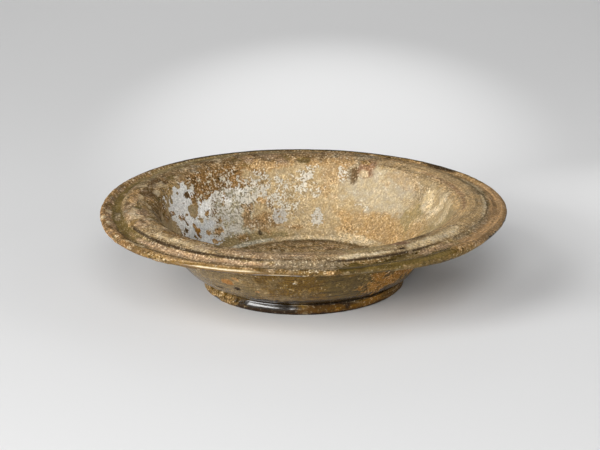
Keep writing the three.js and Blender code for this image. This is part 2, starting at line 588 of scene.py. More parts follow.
    def sandy(self, tree: Tree, tone: Socket, pattern: Sockets, share: Sockets) -> Socket:
        """Colours the crust: mottled brown and grey, with pale and dark grains. The pale grains are sandy
        specks and painted glints in one.

        Args:
            tree: the material's node tree.
            tone: the painted colour of the crust.
            pattern: the patterns by name.
            share: how much there is of each layer and effect, by name.

        Returns:
            The colour's socket.
        """
        colour = self.varied(tree, tone, pattern["mottle"], 0.86, 1.14)
        colour = self.varied(tree, colour, pattern["chips"], 0.7, 1.3, share["grit"])
        hue = add_node(tree, "ShaderNodeMix", {0: pattern["tint"], 6: self.warm, 7: self.cool}, 2,
                       data_type="RGBA")
        colour = add_node(tree, "ShaderNodeVectorMath", {0: colour, 1: hue}, operation="MULTIPLY")
        colour = self.varied(tree, colour, pattern["rings"], 0.45, 1.55, share["streak"])
        colour = self.grained(tree, colour, pattern["grain"], share["grit"])
        # The pale grains stand for sandy specks and for painted glints on the crust.
        for spots, none, full, hue in (("grain", 0.86, 1.0, self.pale_grains_and_glints),
                                       ("pits", 0.2, 0.05, self.dark_pits)):
            mask = add_node(tree, "ShaderNodeMapRange", {0: pattern[spots], 1: none, 2: full, 4: 0.8})
            mask = add_node(tree, "ShaderNodeMath", {0: mask, 1: share["grit"]}, operation="MULTIPLY")
            colour = add_node(tree, "ShaderNodeMix", {0: mask, 6: colour, 7: linear(hue)}, 2,
                              data_type="RGBA")
        return colour

    def milky(self, tree: Tree, tone: Socket, pattern: Sockets) -> Socket:
        """Colours the milky film: even, with a faint cloud and grain.

        Args:
            tree: the material's node tree.
            tone: the painted colour of the film.
            pattern: the patterns by name.

        Returns:
            The colour's socket.
        """
        for name, low, high in (("mottle", 0.88, 1.08), ("pits", 0.84, 1.1), ("grain", 0.8, 1.16)):
            tone = self.varied(tree, tone, pattern[name], low, high)
        return tone

    def bumps(self, tree: Tree, crust: Socket, enamel: Socket, pattern: Sockets) -> Socket:
        """Raises the layers and their grain above the bare glass.

        Args:
            tree: the material's node tree.
            crust: where the crust lies.
            enamel: where the milky film lies.
            pattern: the patterns by name.

        Returns:
            The socket of the bumpy normal.
        """
        height = add_node(tree, "ShaderNodeMath", {0: crust, 1: pattern["grain"]}, operation="MULTIPLY")
        for layer in (enamel, pattern["chips"]):
            height = add_node(tree, "ShaderNodeMath", {0: layer, 1: 0.4, 2: height},
                              operation="MULTIPLY_ADD")
        return add_node(tree, "ShaderNodeBump",
                        {"Height": height, "Strength": 0.9, "Distance": self.relief * MM})


BODY_FINISH = WeatheredGlass("weathered blown glass, bowl")
FOOT_FINISH = WeatheredGlass("weathered glass coil, foot", glass_roughness=0.14, gloss=0.18)

UNSEEN_SKINS = (Skin.GOLD_CRUST, Skin.SAND, Skin.OLIVE_GLASS, Skin.BROWN_CRUST, Skin.SPECKLED_ENAMEL,
                Skin.DARK_GLASS, Skin.RUST_TAN, Skin.GREY_GLASS)
FLECK_SKINS = (Skin.DARK_STAIN, Skin.CREAM, Skin.RUST_TAN, Skin.DARK_STAIN, Skin.GREY_CRUST, Skin.PINK_TAN,
               Skin.DARK_CHANNEL, Skin.GOLD_CRUST)

# What a millimetre takes up of the turn halfway out, and how torn the scattered patches are.
DEGREES_PER_MM = 0.8
SCATTER_RAGGED = 1.3


def scattered(seed: int, count: int, turn: Point, reach: Point, skins: tuple[Skin, ...] = UNSEEN_SKINS,
              half: Point = (2.5, 9)) -> list[Row]:
    """Scatters patches of random places and sizes, as small flecks or over a side that isn't seen.

    Args:
        seed: a whole number that picks the places.
        count: how many patches.
        turn: the first and the last turn in degrees.
        reach: the least and the greatest reach in millimetres.
        skins: the surfaces that they show, one after another.
        half: the least and the greatest half of a patch's size in millimetres.

    Returns:
        A row for each patch.
    """
    draws = hashed(np.arange(count * 15).reshape(count, 5, 3), seed)
    made = []
    for i, (around, along, wide, high, strong) in enumerate(draws):
        middle = turn[0] + around * (turn[1] - turn[0]), reach[0] + along * (reach[1] - reach[0])
        sizes = [half[0] + share * (half[1] - half[0]) for share in (wide, high)]
        width = DEGREES_PER_MM * sizes[0]
        made.append(("scattered", middle[0] - width, middle[0] + width,
                     middle[1] - sizes[1], middle[1] + sizes[1], skins[i % len(skins)],
                     0.5 + 0.5 * strong, SCATTER_RAGGED))
    return made


GROUND = [
    ("wall, sandy", 0, 360, -20, 120, Skin.SAND, 1, 0),
    ("floor, brown and gritty", 0, 360, -60, 57, Skin.FLOOR_DIRT, 1, 0.1),
    ("ridge, tan crust", 0, 360, 114, 136, Skin.RIDGE_CRUST, 1, 0.3),
    ("channel, dirty glass", 0, 360, 133.5, 142, Skin.CHANNEL_DIRT, 0.9, 0.5),
    ("lip, gold-brown crust", 0, 360, 141.5, 155, Skin.GOLD_CRUST, 1, 0.3),
    ("underside and outer wall, brown glass", 0, 360, 153, 340, Skin.BROWN_GLASS, 1, 0.1),
    # Painted shade: the underside of the brim is darkened where the brim shades it.
    ("painted shade under the brim", 0, 360, 150, 190, Skin.DARK_GLASS, 0.6, 0.3),
    # Painted shade: the foot of the outer wall is darkened where it meets the coil.
    ("painted shade in the crevice above the coil", 0, 360, 224, 236, Skin.DARK_GLASS, 0.9, 0.4),
]

INNER_WALL = [
    ("warm field, right", -15, 75, 60, 92, Skin.WARM_SAND),
    ("pale field, right of the middle", 34, 77, 86, 116, Skin.PALE_SAND),
    ("olive band, right end", -25, 12, 62, 112, Skin.OLIVE_SAND, 0.7),
    ("grey band, right", 24, 35, 80, 103, Skin.OLIVE_SAND, 0.9, 1.2),
    ("mauve patch, right", 26, 37, 99, 113, Skin.GREY_CRUST, 0.5),
    ("cream streak, right end", 3, 9, 95, 113, Skin.CREAM, 0.75, 1.5),
    ("cream streak, right", 13, 19, 97, 117, Skin.CREAM, 1, 1.4),
    ("cream streak, right, left part", 22, 31, 97, 111, Skin.CREAM, 1, 1.4),
    ("orange tinge, low right", 30, 62, 66, 80, Skin.RUST_TAN, 0.35, 1.5),
    ("orange tinge, under the ridge", 38, 54, 104, 117, Skin.RUST_TAN, 0.4, 1.6),
    ("tan stripe under the shoulder", 73, 83, 92, 120, Skin.RUST_TAN, 0.55, 1.4),
    ("white streak", 58, 72, 86, 90, Skin.SPECKLED_ENAMEL, 0.75, 1.4),
    ("pale patch, middle", 70, 76, 102, 114, Skin.SPECKLED_ENAMEL, 0.9),
    ("grey stain under the ridge", 66, 71, 104, 121, Skin.GREY_CRUST, 0.9),
    ("red-brown stain under the ridge", 60, 67, 107, 121, Skin.PURPLE_STAIN, 0.95),
    ("brown stripe", 67, 69.5, 101, 111, Skin.DARK_STAIN, 0.8, 0.8),
    ("orange lump", 62.5, 66, 106, 110.5, Skin.CREAM, 0.9, 0.3),
    ("mottled middle", 82, 112, 80, 112, Skin.SPECKLED_ENAMEL, 0.65, 1.6),
    ("white patch, middle", 83, 91, 102, 114, Skin.SPECKLED_ENAMEL, 0.9, 1.4),
    ("orange tinge, top of the middle", 68, 81, 112, 121, Skin.RUST_TAN, 0.8, 1.2),
    ("brown tinge, top of the middle", 92, 118, 108, 120, Skin.RUST_TAN, 0.8, 1.2),
    ("speckled white, left of the middle", 100, 134, 84, 107, Skin.SPECKLED_ENAMEL, 1.0, 1.5),
    ("white, left of the middle", 118, 130, 90, 100, Skin.WHITE_ENAMEL, 0.75, 1.4),
    ("tan spot in the white", 106.5, 111.5, 88, 92, Skin.RUST_TAN, 0.9, 0.5),
    ("brown crust, upper left", 113, 150, 99, 121, Skin.BROWN_CRUST, 1, 1.2),
    ("brown crust, dark streak", 124, 141, 90, 112, Skin.BROWN_CRUST, 1, 1.2),
    ("brown crust, left end", 148, 180, 108, 122, Skin.SLOPE_DIRT, 0.9),
    ("dark slope, left end", 163, 225, 102, 121, Skin.SLOPE_DIRT, 1, 0.8),
    ("dark slope, deep part", 164, 196, 106, 119, Skin.DARK_STAIN, 0.5, 1.2),
    ("dark slope, flake", 178, 181, 101, 108, Skin.GREY_CRUST, 0.9, 0.6),
    ("dark slope, flake", 186, 189, 108, 116, Skin.GREY_CRUST, 0.9, 0.6),
    ("dark slope, flake", 192, 195, 110, 117, Skin.CREAM, 0.6, 0.6),
    ("brown edge, left", 166, 174, 98, 107, Skin.BROWN_CRUST, 0.9, 1.2),
    *scattered(51, 60, (160, 215), (98, 118), FLECK_SKINS, (0.8, 2.4)),
    ("white enamel, upper", 141, 163, 93, 112, Skin.WHITE_ENAMEL, 1, 0.9),
    ("white enamel, lower", 140, 165, 78, 97, Skin.WHITE_ENAMEL, 1, 0.8),
    ("white enamel, tongue", 126, 147, 83, 98, Skin.WHITE_ENAMEL, 0.95, 1.3),
    ("blue-grey enamel", 128, 160, 66, 88, Skin.BLUE_ENAMEL),
    ("grey fade", 110, 134, 66, 92, Skin.GREY_FADE, 0.85, 1.8),
    ("pale specks over the grey", 114, 138, 72, 94, Skin.SPECKLED_ENAMEL, 0.75, 1.8),
    ("brown flakes between the whites", 137, 146, 97, 104, Skin.BROWN_CRUST, 1, 1.2),
    ("brown flakes between the whites", 134, 142, 86, 91, Skin.BROWN_CRUST, 0.7, 1.4),
    ("brown spot, upper", 144.5, 148, 101.5, 106, Skin.DARK_STAIN, 1, 0.5),
    ("tan hole", 143.5, 150, 88.5, 97, Skin.SAND, 1, 0.6),
    ("brown hole", 153.5, 159, 90, 95, Skin.BROWN_CRUST, 0.9, 0.6),
    ("brown hole, side", 150, 154, 91, 94, Skin.RUST_TAN, 0.9, 0.8),
    ("small hole", 160, 165, 97, 100, Skin.BROWN_CRUST, 1, 0.6),
    ("specks, left", 158, 170, 82, 86, Skin.BROWN_CRUST, 0.5, 1.3),
    ("rust spot", 148.4, 152.8, 79, 83, Skin.RUST, 1, 0.4),
    ("dark rim of the rust spot", 150.8, 153.4, 76.6, 79.6, Skin.DARK_STAIN, 1, 0.4),
    ("crack, upper part", 154, 155.6, 86.5, 90.5, Skin.DARK_STAIN, 1, 0.3),
    ("crack, lower part", 156.5, 161, 84, 87, Skin.DARK_STAIN, 0.9, 0.3),
    ("orange spot", 143, 146.3, 75.5, 79, Skin.RUST_TAN, 1, 0.5),
    ("long spot", 136, 140, 73.5, 77.5, Skin.RUST_CRUST, 1, 0.7),
    ("orange spot, low", 142.5, 147, 68.5, 72.5, Skin.RUST_TAN, 1, 0.7),
    ("brown edge, low left", 148, 176, 71, 78, Skin.BROWN_CRUST, 0.35, 1.5),
    *scattered(39, 26, (126, 174), (74, 110), (Skin.OLIVE_SAND, Skin.BROWN_CRUST, Skin.RUST_TAN),
               (0.8, 2.2)),
    ("olive glass, low left", 96, 146, 60.5, 69, Skin.OLIVE_SMOOTH, 0.9),
    ("orange crust", 103, 118, 66, 86, Skin.RUST_CRUST, 0.85, 1.6),
    ("round pale patch", 98, 105, 72, 83.5, Skin.LILAC_ENAMEL, 1, 0.6),
    ("brown rim under the round patch", 92, 103, 68, 71.8, Skin.RUST_CRUST, 0.9, 1.2),
    ("lilac patch", 79.5, 87, 71, 86, Skin.LILAC_ENAMEL, 0.75, 1.1),
    ("dark pit", 113.2, 115.8, 65.5, 70, Skin.DARK_DIRT, 0.9, 0.4),
    ("brown specks, low left", 122, 130, 64.5, 69.5, Skin.BROWN_CRUST, 0.7, 1.4),
    *scattered(45, 110, (48, 132), (38, 57), FLECK_SKINS, (0.8, 2.2)),
    ("floor edge, dark", 40, 140, 54.5, 58, Skin.DARK_STAIN, 0.7, 0.3),
    ("floor edge, sparkling", 38, 72, 59, 66, Skin.CREAM, 0.8, 1.2),
    # Painted highlight: a pale line where the wall rounds into the floor.
    ("floor edge, painted highlight", 62, 110, 58.6, 62, Skin.CREAM, 0.85, 0.5),
    ("floor edge, grey line", 106, 140, 59, 62.5, Skin.GREY_FADE, 0.9, 0.4),
    ("floor edge, dark rim on the right", 62, 98, 56.5, 58.6, Skin.DARK_DIRT, 0.6, 0.4),
]


BRIM = [
    ("brown ridge, far", 58, 172, 116, 134, Skin.FAR_CRUST, 0.9),
    ("olive channel, far", 72, 168, 125, 143.5, Skin.OLIVE_SMOOTH, 0.85, 0.4),
    ("dark lip, far", 20, 168, 143.2, 158, Skin.DARK_DIRT, 1, 0.1),
    *scattered(21, 100, (62, 168), (113, 142), FLECK_SKINS, (1.0, 3.4)),
    ("tan ridge, far right", 6, 60, 115, 134, Skin.RIDGE_SAND, 0.8, 1.2),
    ("pink shadow line, far right", 8, 40, 118, 121.5, Skin.PURPLE_STAIN, 0.5, 0.5),
    ("orange crust, far right edge", 12, 60, 137.5, 144.5, Skin.RUST_TAN, 0.9, 1.3),
    ("orange chips, far right", 50, 62, 124, 131, Skin.RUST_TAN, 0.9, 0.8),
    ("grey channel, far right", 14, 58, 131.5, 137, Skin.OLIVE_SMOOTH, 0.8, 0.8),
    ("chip hole, far right", 58, 60.6, 125.6, 128.8, Skin.DARK_DIRT, 1, 0.4),
    ("chip hole, far right", 51.5, 53.5, 126, 128.6, Skin.DARK_DIRT, 1, 0.4),
    ("grey glass, far", 64, 71, 118, 132, Skin.GREY_CRUST, 0.8),
    ("dark edge, far right", 36, 50, 141, 146, Skin.DARK_DIRT, 0.9, 0.5),
    ("red-brown lip, far left", 142, 176, 141, 146, Skin.RUST_CRUST, 0.8, 1.2),
    ("channel, dark, left", 146, 216, 133.6, 141, Skin.DARK_CHANNEL, 1, 0.35),
    ("channel, pink glint, far left", 160, 167, 130, 137, Skin.PINK_TAN, 0.8, 1.2),
    ("channel, glints, left", 183, 191, 136, 139, Skin.GREY_CRUST, 0.7, 1.2),
    ("lip, red tan, left", 164, 216, 141.5, 152, Skin.LIP_TAN, 0.95, 0.8),
    ("lip, brown, front", 230, 300, 141.5, 155, Skin.LIP_BROWN, 0.9, 0.6),
    ("pink lip, left", 170, 200, 141, 145, Skin.PINK_TAN, 0.8, 1.2),
    ("dark spots, left lip", 176, 184, 143, 147, Skin.DARK_STAIN, 0.8, 1.4),
    ("dark spots, left lip", 190, 198, 144, 149, Skin.DARK_STAIN, 0.7, 1.5),
    ("ridge, orange, left end", 168, 183, 122, 130, Skin.RUST_TAN, 0.95, 1.2),
    ("ridge, grey-pink, left", 182, 206, 122, 132, Skin.PINK_TAN, 0.9),
    ("ridge, cream, left", 186, 200, 124, 130, Skin.CREAM, 0.5, 1.4),
    ("ridge, brown stain, left", 162, 172, 116, 124, Skin.DARK_STAIN, 0.8, 1.2),
    *scattered(27, 90, (160, 270), (113, 133), FLECK_SKINS, (0.9, 2.8)),
    *scattered(33, 110, (160, 300), (142, 152), FLECK_SKINS, (0.8, 2.2)),
    ("channel, pink, near left", 206, 264, 134.5, 139.5, Skin.PINK_TAN, 0.9, 0.5),
    ("crease of the lip, near left", 200, 276, 139.6, 142.2, Skin.DARK_STAIN, 0.8, 0.6),
    ("white chips, near left", 211, 218, 140.5, 144.5, Skin.CREAM, 0.8, 1.4),
    # Dirt and painted shade: a dark line in the step down from the ridge into the channel.
    ("dirt and painted shade in the step, near left", 200, 266, 131.8, 134.2, Skin.DARK_DIRT, 0.9, 0.35),
    ("brown stain, near left", 214, 236, 116, 126, Skin.BROWN_CRUST, 0.9, 1.4),
    ("cream glints, near left", 212, 240, 126, 131, Skin.CREAM, 0.6, 1.6),
    # Painted shade: a dark line where the near shoulder turns away from view.
    ("painted shade along the near ridge's edge", 204, 300, 112.5, 117.5, Skin.DARK_STAIN, 0.8, 0.9),
    ("pink-grey crust, near middle", 238, 286, 124, 131, Skin.PINK_TAN, 0.7, 1.2),
    ("grey crust, near middle", 258, 284, 132, 146, Skin.GREY_CRUST, 0.8, 1.2),
    ("dark streak, near middle", 262, 284, 131.2, 132.6, Skin.DARK_STAIN, 0.7, 0.8),
    ("lip, orange-brown, near left", 218, 262, 142.4, 148, Skin.RUST_TAN, 0.6, 1.2),
    ("lip, glossy stretch, near left", 230, 260, 146.4, 151, Skin.BRIGHT_GLASS, 1, 0.3),
    ("lip, glossy spot, near middle", 256, 269, 149, 153, Skin.BRIGHT_GLASS, 1, 0.3),
    # Painted highlights: thin pale lines on clean glass where the lamps shine on the lip.
    ("lip, painted highlight line, near left", 237, 258, 147.4, 148.8, Skin.PAINTED_HIGHLIGHT_GLASS, 0.6, 0.5),
    ("lip, painted highlight line, near middle", 260, 266, 150, 151.2, Skin.PAINTED_HIGHLIGHT_GLASS, 0.7, 0.5),
    ("lip, dark spots, near left", 205, 222, 146, 151, Skin.DARK_STAIN, 0.6, 1.6),
    ("olive glass, near right", 278, 316, 134.8, 153, Skin.OLIVE_GLASS, 1, 0.4),
    ("gold sparkle, near right", 286, 297, 135, 138.4, Skin.GOLD_CRUST, 0.8, 1.5),
    ("warm ridge, near right", 284, 304, 116, 129, Skin.OLIVE_SAND, 0.7),
    # Dirt and painted shade: a dark line in the step down from the ridge into the channel.
    ("dirt and painted shade in the step, near right", 276, 316, 132.6, 135, Skin.DARK_DIRT, 0.9, 0.3),
    # Pale crust and a painted highlight along the ridge's outer edge.
    ("pale crust and painted highlight on the ridge's edge, near right", 274, 304, 129.4, 132.4, Skin.CREAM, 1, 0.9),
    ("brown crust, channel, near right", 303, 320, 134.5, 141, Skin.PINK_TAN, 0.8, 1.2),
    ("dark glass, near right", 296, 306, 136, 143, Skin.DARK_CHANNEL, 0.8, 0.8),
    ("tan ridge, right", 322, 374, 113, 134, Skin.RIDGE_SAND, 0.85),
    ("brown crust, near right", 300, 334, 124, 133.4, Skin.RIDGE_CRUST, 0.75, 1.5),
    ("purple-brown patch", 300.5, 308, 117, 127, Skin.PURPLE_STAIN, 0.95, 0.8),
    ("purple-brown patch, tip", 308, 316, 116, 122.5, Skin.DARK_STAIN, 0.85, 0.7),
    ("notch", 300.6, 303.4, 128.4, 131.4, Skin.DARK_DIRT, 1, 0.3),
    ("yellowish crust", 304, 328, 126, 132.6, Skin.CREAM, 0.75, 1.2),
    # Dirt and painted shade: the dark line in the channel step carries on past the crust.
    ("dirt and painted shade in the step past the crust", 312, 334, 132.8, 134.4, Skin.DARK_STAIN, 0.6, 0.5),
    ("smooth tan lip, right", 318, 380, 136, 154, Skin.RIM_TAN, 1, 0.5),
    ("lilac lines, right", 322, 352, 133, 138, Skin.GREY_CRUST, 0.6, 1.2),
    # Painted shade: a dark arc on the ridge's inner slope, in line with the pink shadow line.
    ("painted shade under the ridge, right", -12, 22, 118.5, 121.5, Skin.PURPLE_STAIN, 0.6, 0.5),
    ("crust hook, right end", -9, 10, 131.8, 134.6, Skin.CREAM, 0.9, 0.8),
    ("crust hook, far end", 10, 32, 134, 139, Skin.CREAM, 0.6, 1.5),
    ("dark lip edge, near right", 276, 330, 148, 153, Skin.DARK_CHANNEL, 0.7, 0.6),
    ("lip, olive, right", 330, 362, 148, 153, Skin.OLIVE_GLASS, 0.7, 0.6),
]

OUTER_WALL = [
    ("grey glass, left", 203, 262, 192, 226, Skin.GREY_GLASS, 0.6, 1.4),
    ("grey glass, far left", 203, 249, 196, 225, Skin.GREY_GLASS, 0.8, 1.2),
    ("green-grey tinge", 240, 249, 211, 224, Skin.OLIVE_GLASS, 0.6),
    ("dark pit", 236.4, 240, 212, 216.5, Skin.DARK_DIRT, 1, 0.2),
    ("dark scratch", 222.5, 229.5, 216.4, 219, Skin.DARK_DIRT, 0.9, 0.3),
    ("dark pit", 280, 282.8, 209.5, 213.5, Skin.DARK_DIRT, 0.9, 0.4),
    ("orange spot", 231, 238, 205, 211.5, Skin.RUST_SPOT, 1, 0.5),
    ("orange spot", 238, 242, 202, 206, Skin.RUST_SPOT, 0.6, 0.7),
    ("orange spot", 247, 249.5, 213, 216, Skin.RUST_SPOT, 0.9, 0.6),
    ("pale spot", 264.6, 268.2, 201, 205, Skin.SPECKLED_ENAMEL, 0.9, 0.6),
    ("brown specks, middle", 250, 284, 198, 216, Skin.SPECKS, 0.9, 1.5),
    ("olive glass, middle right", 276, 305, 194, 224, Skin.OLIVE_GLASS, 0.8),
    ("gold specks, right", 284, 310, 196, 218, Skin.SPECKS, 0.9, 1.5),
    ("rust crust, right", 296, 318, 206, 222, Skin.RUST, 0.8, 1.7),
    ("rust crust, right end", 304, 338, 192, 218, Skin.RUST, 0.95, 1.5),
]


@dataclass
class TurnedGlass:
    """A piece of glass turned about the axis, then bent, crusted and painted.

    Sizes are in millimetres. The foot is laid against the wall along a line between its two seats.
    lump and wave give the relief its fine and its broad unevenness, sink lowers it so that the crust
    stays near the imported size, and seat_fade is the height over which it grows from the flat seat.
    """

    around: int = 540
    seat_inner: Point = (55.5, 5.8)
    seat_outer: Point = (60.9, 7.02)
    lump_size: float = 3.4
    lump_height: float = 0.25
    wave_size: float = 26
    wave_height: float = 0.4
    sink: float = 0.44
    seat_fade: float = 0.8
    name: str = ""
    node: str = ""
    slot: str = ""
    closed: bool = False

    def outline(self) -> list[Point]:
        """Works out the outline, as radius and height in millimetres."""
        raise NotImplementedError

    def patches(self) -> list[Row]:
        """Lists a row for each patch, in the order in which they are laid."""
        raise NotImplementedError

    def bend(self, places: np.ndarray, turn: np.ndarray, reach: np.ndarray) -> None:
        """Moves the points as the hand-made piece is out of true."""
        raise NotImplementedError

    def build(self, finish: WeatheredGlass) -> None:
        """Makes the piece, paints it and gives it its place in the frame.

        Args:
            finish: the material it gets.
        """
        path = np.array(self.outline())
        places, out, turn, reach = self.turned(path)
        paint = Paint(places, turn, reach)
        patches = [Patch(*row) for row in self.patches()]
        for patch in patches:
            LOG.debug("%s: %s", self.name, patch.place)
            paint.lay(patch)
        places += out * self.relief(places, paint)[:, None]
        self.bend(places, turn, reach)
        mesh = self.meshed(places, len(path))
        paint.keep(mesh, len(mesh.vertices) - len(places))
        mesh.materials.append(finish.build())
        piece = placed(self.name, mesh)
        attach(piece, "root")
        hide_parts(self.node)
        LOG.info("%s: %d faces, %d patches", self.name, len(mesh.polygons), len(patches))

    def turned(self, path: np.ndarray) -> tuple[np.ndarray, np.ndarray, np.ndarray, np.ndarray]:
        """Turns the outline about the axis.

        Args:
            path: radius and height of each point of the outline, in millimetres.

        Returns:
            The points in metres, the way out of the glass at each, their turn and their reach.
        """
        angle = np.linspace(0, 2 * math.pi, self.around, endpoint=False)
        flow = np.roll(path, -1, axis=0) - np.roll(path, 1, axis=0)
        if not self.closed:
            flow[0], flow[-1] = path[1] - path[0], path[-1] - path[-2]
        flow /= np.linalg.norm(flow, axis=1)[:, None]
        steps = np.linalg.norm(np.diff(path, axis=0), axis=1)
        reach = path[-1, 0] + np.append(np.cumsum(steps[::-1])[::-1], 0)
        places, out = (
            np.stack([np.outer(np.cos(angle), flat).ravel(), np.outer(np.sin(angle), flat).ravel(),
                      np.tile(up, self.around)], axis=1)
            for flat, up in ((path[:, 0] * MM, path[:, 1] * MM), (flow[:, 1], -flow[:, 0]))
        )
        return places, out, np.repeat(np.degrees(angle), len(path)), np.tile(reach, self.around)

    def relief(self, places: np.ndarray, paint: Paint) -> np.ndarray:
        """Works out how far the layers stand above the bare glass.

        Args:
            places: the points in metres.
            paint: the layers on them.

        Returns:
            A height in metres for each point, none where the piece stands on the floor.
        """
        lumps = layered_noise(places, self.lump_size, 3, 11)
        waves = layered_noise(places, self.wave_size, 3, 3) - 0.5
        rough = self.lump_height * (lumps - 0.5 * paint.share["clear"]) * (1 - 0.7 * paint.share["clear"])
        height = paint.share["lift"] * (0.4 + 1.2 * lumps) + rough + self.wave_height * waves - self.sink
        return height * MM * smooth_step(0, self.seat_fade * MM, places[:, 2])

    def meshed(self, places: np.ndarray, count: int) -> bpy.types.Mesh:
        """Joins the points up with faces.

        Args:
            places: the points, one outline after another.
            count: how many points an outline has.

        Returns:
            The mesh, closed at the axis if the outline ends there.
        """
        points = [tuple(place) for place in places]
        faces = []
        for step in range(self.around):
            here, there = step * count, (step + 1) % self.around * count
            for i in range(count if self.closed else count - 1):
                j = (i + 1) % count
                faces.append((here + i, there + i, there + j, here + j))
        for end, flip in () if self.closed else ((0, True), (count - 1, False)):
            centre = len(points)
            points.append((0.0, 0.0, float(np.mean(places[end::count, 2]))))
            for step in range(self.around):
                a, b = step * count + end, (step + 1) % self.around * count + end
                faces.append((centre, b, a) if flip else (centre, a, b))
        mesh = bpy.data.meshes.new(self.name)
        mesh.from_pydata(points, [], faces)
        mesh.polygons.foreach_set("use_smooth", np.ones(len(mesh.polygons), dtype=bool))
        mesh.update()
        return mesh


@dataclass
class BowlBody(TurnedGlass):
    """Floor, wall and moulded brim. Sizes are in millimetres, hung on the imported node's box.

    lean and twist are in degrees. twist is how much the lean grows from the middle to the back edge.
    """

    name: str = "bowl_body_glass"
    node: str = "bowl_body"
    slot: str = "weathered_body_glass"
    floor_radius: float = 55
    floor_clearance: float = 5.8
    floor_thickness: float = 2.8
    wall_thickness: float = 2.6
    wall_height: float = 45.5
    wall_base_reach: float = 16
    wall_shoulder_reach: float = 9
    wall_lean: float = 2.2
    shoulder_width: float = 5.5
    lip_width: float = 6.6
    lip_thickness: float = 4.4
    lip_drop: float = 3.6
    channel_width: float = 6.7
    channel_step_width: float = 1.2
    channel_step_drop: float = 1.8
    channel_hollow: float = 1.2
    ridge_width: float = 16.7
    ridge_crown: float = 1.7
    brim_thickness: float = 4.6
    brim_root: float = 6
    lean: float = 0.72
    twist: float = 0.49
    flatter_right: float = 4.2
    sag: Dent = Dent(2.3, 205, 55)
    lip_sag_left: Dent = Dent(0.2, 212, 60)
    lip_sag_right: Dent = Dent(2.6, 312, 30)
    filled_right: Dent = Dent(1.4, 350, 62)
    rim_radius: float = field(init=False)
    brim_height: float = field(init=False)

    def __post_init__(self) -> None:
        """Reads the rim's radius and the brim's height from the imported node."""
        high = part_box(self.node)[1]
        self.rim_radius = high[0] / MM
        self.brim_height = high[2] / MM - self.ridge_crown

    def outline(self) -> list[Point]:
        """Works out the outline from the axis under the floor round to the axis above it.

        Returns:
            Radius and height of each point, in millimetres.
        """
        top = self.floor_clearance + self.floor_thickness
        ridge_outer = self.rim_radius - self.lip_width - self.channel_width
        ridge_inner = ridge_outer - self.ridge_width
        wall_top = ridge_inner - self.shoulder_width
        wall = bezier([(self.floor_radius, top), (self.floor_radius + self.wall_base_reach, top),
                       (wall_top - self.wall_lean, self.wall_height - self.wall_shoulder_reach),
                       (wall_top, self.wall_height)], 1.3)
        outer = self.outer_wall(wall)
        under = self.brim_height - self.brim_thickness
        root_radius = outer[-1][0]
        root = bezier([outer[-1], (root_radius, under), (root_radius + self.brim_root, under)], 1.3)
        bead = self.bead()
        step = (ridge_outer + self.channel_step_width, self.brim_height - self.channel_step_drop)
        middle = ((bead[-1][0] + step[0]) / 2, step[1] - self.channel_hollow)
        channel = bezier([bead[-1], middle, step], 0.8)
        ridge = bezier([(ridge_outer, self.brim_height),
                        ((ridge_outer + ridge_inner) / 2, self.brim_height + 2 * self.ridge_crown),
                        (ridge_inner, self.brim_height)], 1.05)
        shoulder = bezier([ridge[-1], (wall_top + self.wall_lean / 2, self.brim_height - self.ridge_crown),
                           (wall_top, self.wall_height)], 1.0)
        under_floor = bezier([(2, self.floor_clearance), self.seat_inner], 4.5)
        under_brim = bezier([root[-1], (ridge_outer, under)], 2.2)
        floor = bezier([(self.floor_radius, top), (2, top)], 2.4)
        return [*under_floor, self.seat_outer, *outer, *root[1:], *under_brim[1:], *bead, *channel[1:],
                *bezier([step, ridge[0]], 0.55)[1:], *ridge[1:], *shoulder[1:], *wall[::-1][1:], *floor[1:]]

    def outer_wall(self, wall: list[Point]) -> list[Point]:
        """Steps off the wall's thickness from its inner face.

        Args:
            wall: the inner face, from the floor up.

        Returns:
            The outer face, from the seat of the foot up.
        """
        made = []
        for here, after in zip(wall, wall[1:]):
            run, rise = after[0] - here[0], after[1] - here[1]
            share = self.wall_thickness / math.hypot(run, rise)
            if here[0] + rise * share > self.seat_outer[0] + 0.5:
                made.append((here[0] + rise * share, here[1] - run * share))
        return made

    def bead(self) -> list[Point]:
        """Rounds the lip, from its lowest point round the edge to the crease of the channel."""
        radius = self.rim_radius - self.lip_width / 2
        height = self.brim_height - self.lip_drop
        angles = np.radians(np.linspace(-90, 147, 16))
        return [(radius + self.lip_width / 2 * math.cos(a), height + self.lip_thickness / 2 * math.sin(a))
                for a in angles]

    def bend(self, places: np.ndarray, turn: np.ndarray, reach: np.ndarray) -> None:
        """Flattens the wall on the right, then leans, twists and sags the brim and fills its channel.

        Args:
            places: the points in metres, moved in place.
            turn: each point's turn in degrees.
            reach: each point's reach in millimetres.
        """
        height = places[:, 2] / MM
        right = np.clip(np.cos(np.radians(turn)), 0, 1)
        waist = band((8, 20), (44, 30), height)
        flat = 1 - self.flatter_right * MM * right * waist / np.maximum(np.hypot(*places[:, :2].T), MM)
        places[:, :2] *= flat[:, None]
        brim = smooth_step(8, 42, height)
        across, away = places[:, 0], places[:, 1] / (self.rim_radius * MM)
        tilt = math.tan(math.radians(self.lean)) + math.tan(math.radians(self.twist)) * away
        outward = smooth_step(100, 122, np.hypot(*places[:, :2].T) / MM)
        drop = self.sag.at(turn) * outward * brim
        lip = self.lip_sag_left.at(turn) + self.lip_sag_right.at(turn)
        drop += lip * band((144, 153), (168, 156), reach)
        drop -= self.filled_right.at(turn) * band((133, 135.5), (143, 138.5), reach)
        places[:, 2] -= tilt * brim * across + drop * MM

    def patches(self) -> list[Row]:
        """Lists a row for each patch, in the order in which they are laid."""
        unseen = scattered(5, 40, (0, 200), (160, 230)) + scattered(8, 24, (0, 360), (245, 292))
        return [*GROUND, *INNER_WALL, *BRIM, *OUTER_WALL, *unseen]


